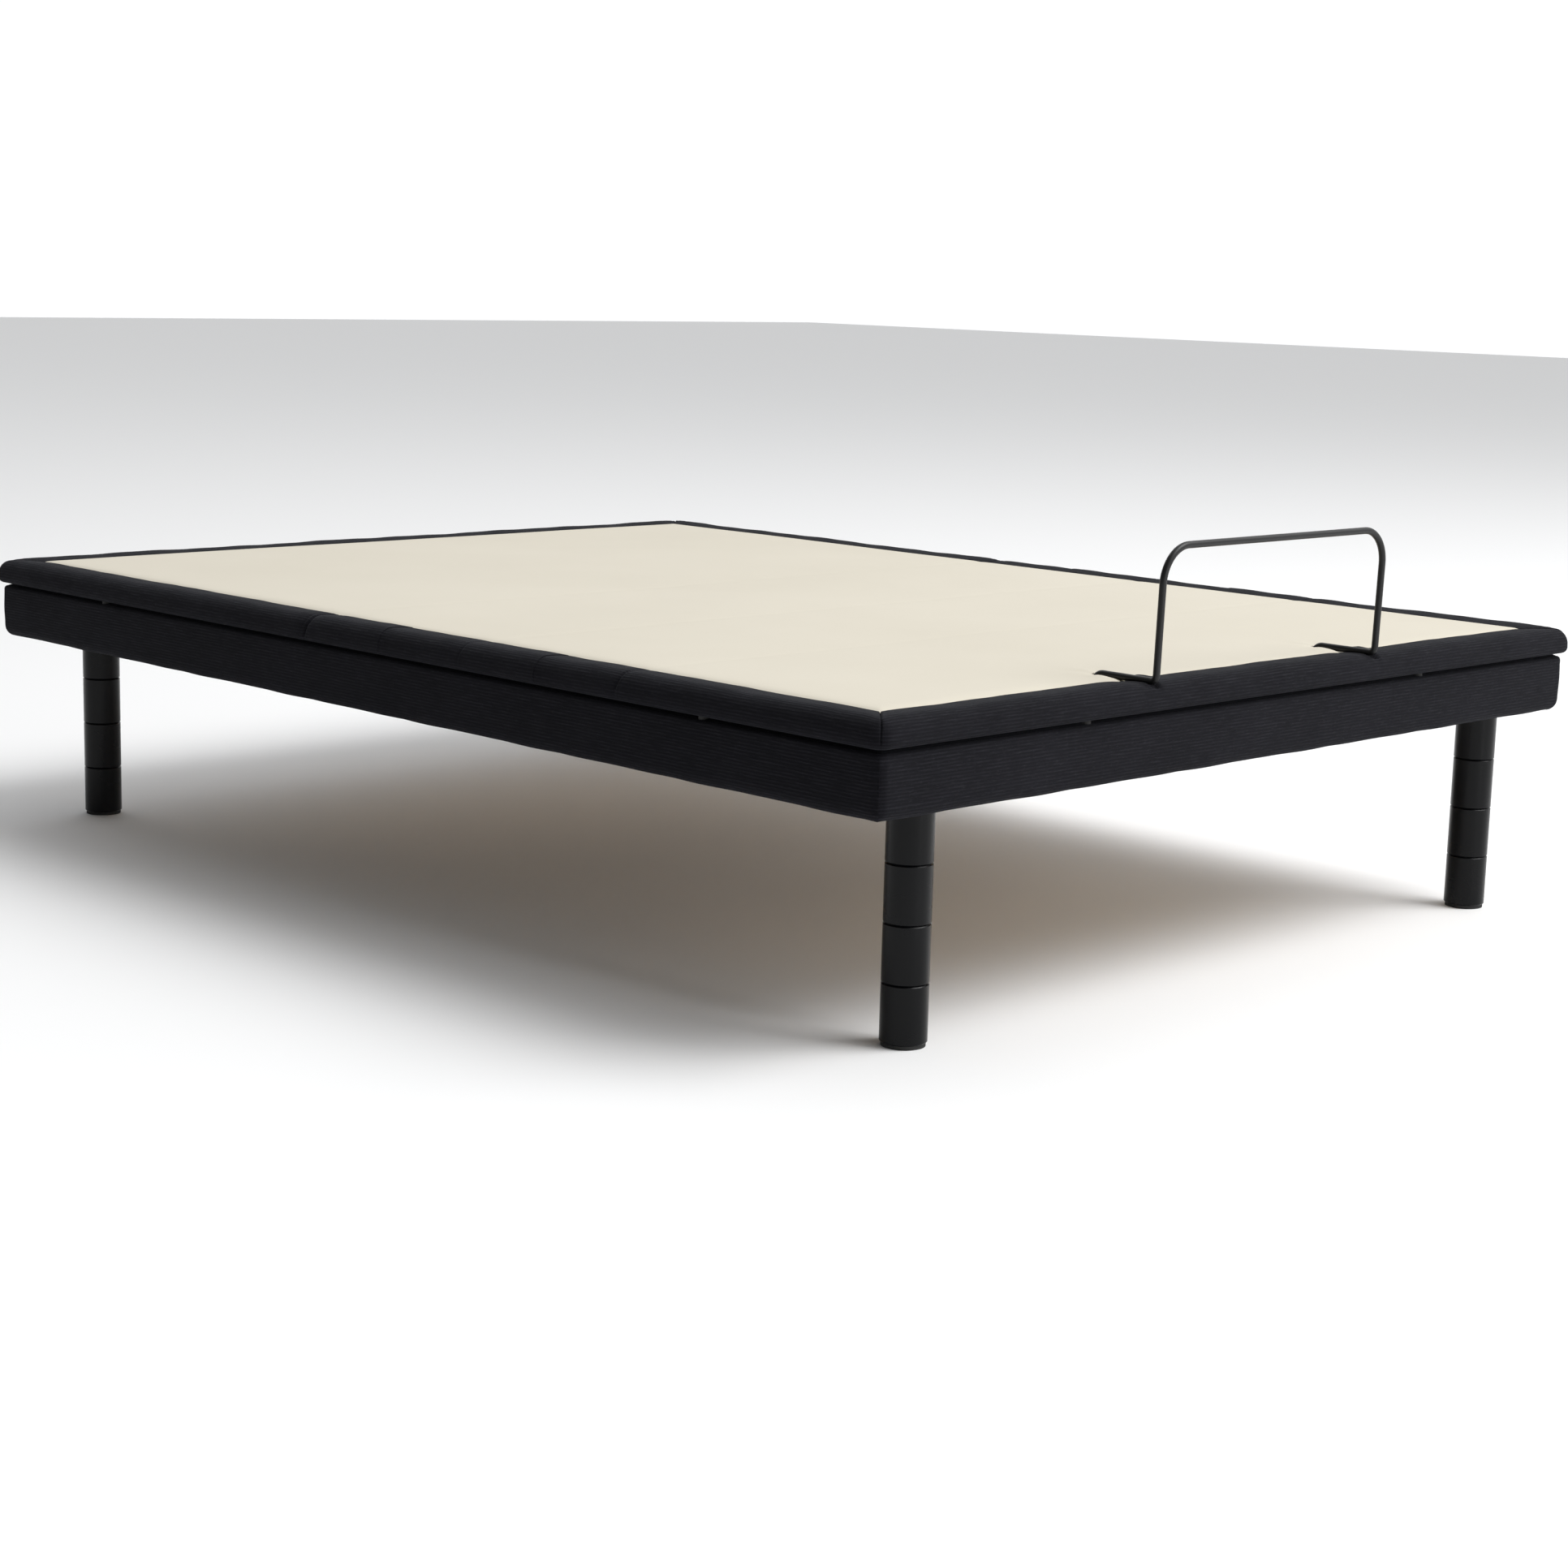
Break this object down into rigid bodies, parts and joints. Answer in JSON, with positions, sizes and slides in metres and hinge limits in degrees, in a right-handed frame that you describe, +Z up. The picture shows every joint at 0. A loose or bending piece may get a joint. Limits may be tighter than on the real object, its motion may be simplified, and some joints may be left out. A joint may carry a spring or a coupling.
{
  "type": "adjustable bed base",
  "caption": "Low adjustable bed base on stacked round legs: fixed panel below, folding padded deck above with raising head, thigh and foot sections and a mattress retainer.",
  "frame": {"origin": "on the floor under the middle of the deck", "axes": "+Z up, +Y towards the head end, +X to the right seen from the foot end looking to the head"},
  "size_m": [1.524, 2.032, 0.6048],
  "materials": {
    "leg_black": "satin powder coat",
    "glide_black": "matte",
    "frame_black": "satin powder coat",
    "zinc": "zinc plated",
    "rod_steel": "ground",
    "rail_wood": "plain softwood",
    "board_ply": "plywood",
    "skirt_fabric": "ribbed woven upholstery",
    "border_fabric": "ribbed woven upholstery",
    "cream_fabric": "stretch knit",
    "foam": "open cell foam",
    "motor_plastic": "fine textured",
    "rubber": "matte",
    "retainer_black": "gloss powder coat"
  },
  "bodies": {
    "base": {"foot_left_leg": "leg_black", "foot_right_leg": "leg_black", "head_left_leg": "leg_black", "head_right_leg": "leg_black", "leg_glides": "glide_black", "leg_plates": "frame_black", "left_side_tube": "frame_black", "right_side_tube": "frame_black", "foot_cross_tube": "frame_black", "head_cross_tube": "frame_black", "head_motor_crossbar": "frame_black", "thigh_motor_crossbar": "frame_black", "left_rail": "rail_wood", "right_rail": "rail_wood", "head_rail": "rail_wood", "foot_rail": "rail_wood", "left_skirt": "skirt_fabric", "right_skirt": "skirt_fabric", "head_skirt": "skirt_fabric", "foot_skirt": "skirt_fabric", "seat_risers": "rail_wood", "motor_brackets": "frame_black", "link_frame_brackets": "frame_black", "control_box": "motor_plastic", "power_supply": "motor_plastic", "seat_board": "board_ply", "seat_foam": "foam", "seat_cover": "cream_fabric", "seat_border": "border_fabric", "seat_hinges": "zinc", "deck_pads": "rubber"},
    "head_section": {"head_board": "board_ply", "head_foam": "foam", "head_cover": "cream_fabric", "head_border": "border_fabric", "head_hinge_leaves": "zinc", "head_stiffeners": "frame_black", "head_lever": "frame_black"},
    "thigh_section": {"thigh_board": "board_ply", "thigh_foam": "foam", "thigh_cover": "cream_fabric", "thigh_border": "border_fabric", "thigh_hinges": "zinc", "thigh_stiffeners": "frame_black", "thigh_lever": "frame_black"},
    "foot_section": {"foot_board": "board_ply", "foot_foam": "foam", "foot_cover": "cream_fabric", "foot_border": "border_fabric", "foot_hinge_leaves": "zinc", "foot_stiffeners": "frame_black", "foot_link_brackets": "frame_black", "retainer_bar": "retainer_black", "retainer_nuts": "zinc"},
    "left_link": {"left_link": "frame_black"},
    "right_link": {"right_link": "frame_black"},
    "head_motor": {"head_motor": "motor_plastic"},
    "head_rod": {"head_motor_rod": "rod_steel"},
    "thigh_motor": {"thigh_motor": "motor_plastic"},
    "thigh_rod": {"thigh_motor_rod": "rod_steel"}
  },
  "joints": [
    {"name": "head_hinge", "type": "hinge", "parent": "base", "child": "head_section", "pos_m": [0, 0.13, 0.404], "axis": [1, 0, 0], "range_deg": [0, 60]},
    {"name": "thigh_hinge", "type": "hinge", "parent": "base", "child": "thigh_section", "pos_m": [0, -0.225, 0.404], "axis": [-1, 0, 0], "range_deg": [0, 35]},
    {"name": "knee_hinge", "type": "hinge", "parent": "thigh_section", "child": "foot_section", "pos_m": [0, -0.548, 0.404], "axis": [-1, 0, 0], "range_deg": [-35.01, 0]},
    {"name": "left_link_pivot", "type": "hinge", "parent": "base", "child": "left_link", "pos_m": [-0.665, -0.285, 0.361], "axis": [-1, 0, 0], "range_deg": [0, 35.01]},
    {"name": "right_link_pivot", "type": "hinge", "parent": "base", "child": "right_link", "pos_m": [0.665, -0.285, 0.361], "axis": [-1, 0, 0], "range_deg": [0, 35.01]},
    {"name": "head_motor_tilt", "type": "hinge", "parent": "base", "child": "head_motor", "pos_m": [-0.075, -0.32, 0.329], "axis": [1, 0, 0], "range_deg": [0, 8.2]},
    {"name": "head_rod_slide", "type": "slide", "parent": "head_motor", "child": "head_rod", "axis": [0, 0.9958, -0.0913], "range_m": [0, 0.0992]},
    {"name": "thigh_motor_tilt", "type": "hinge", "parent": "base", "child": "thigh_motor", "pos_m": [0.075, 0.225, 0.329], "axis": [-1, 0, 0], "range_deg": [0, 3.9]},
    {"name": "thigh_rod_slide", "type": "slide", "parent": "thigh_motor", "child": "thigh_rod", "axis": [0, -0.9958, -0.0913], "range_m": [0, 0.0647]}
  ],
  "couplings": [
    {"joint": "knee_hinge", "follows": "thigh_hinge", "ratio": -1},
    {"joint": "left_link_pivot", "follows": "thigh_hinge", "ratio": 1},
    {"joint": "right_link_pivot", "follows": "thigh_hinge", "ratio": 1},
    {"joint": "head_motor_tilt", "follows": "head_hinge", "ratio": 0.1356},
    {"joint": "head_rod_slide", "follows": "head_hinge", "m_per_rad": 0.09449},
    {"joint": "thigh_motor_tilt", "follows": "thigh_hinge", "ratio": 0.1108},
    {"joint": "thigh_rod_slide", "follows": "thigh_hinge", "m_per_rad": 0.1056}
  ]
}
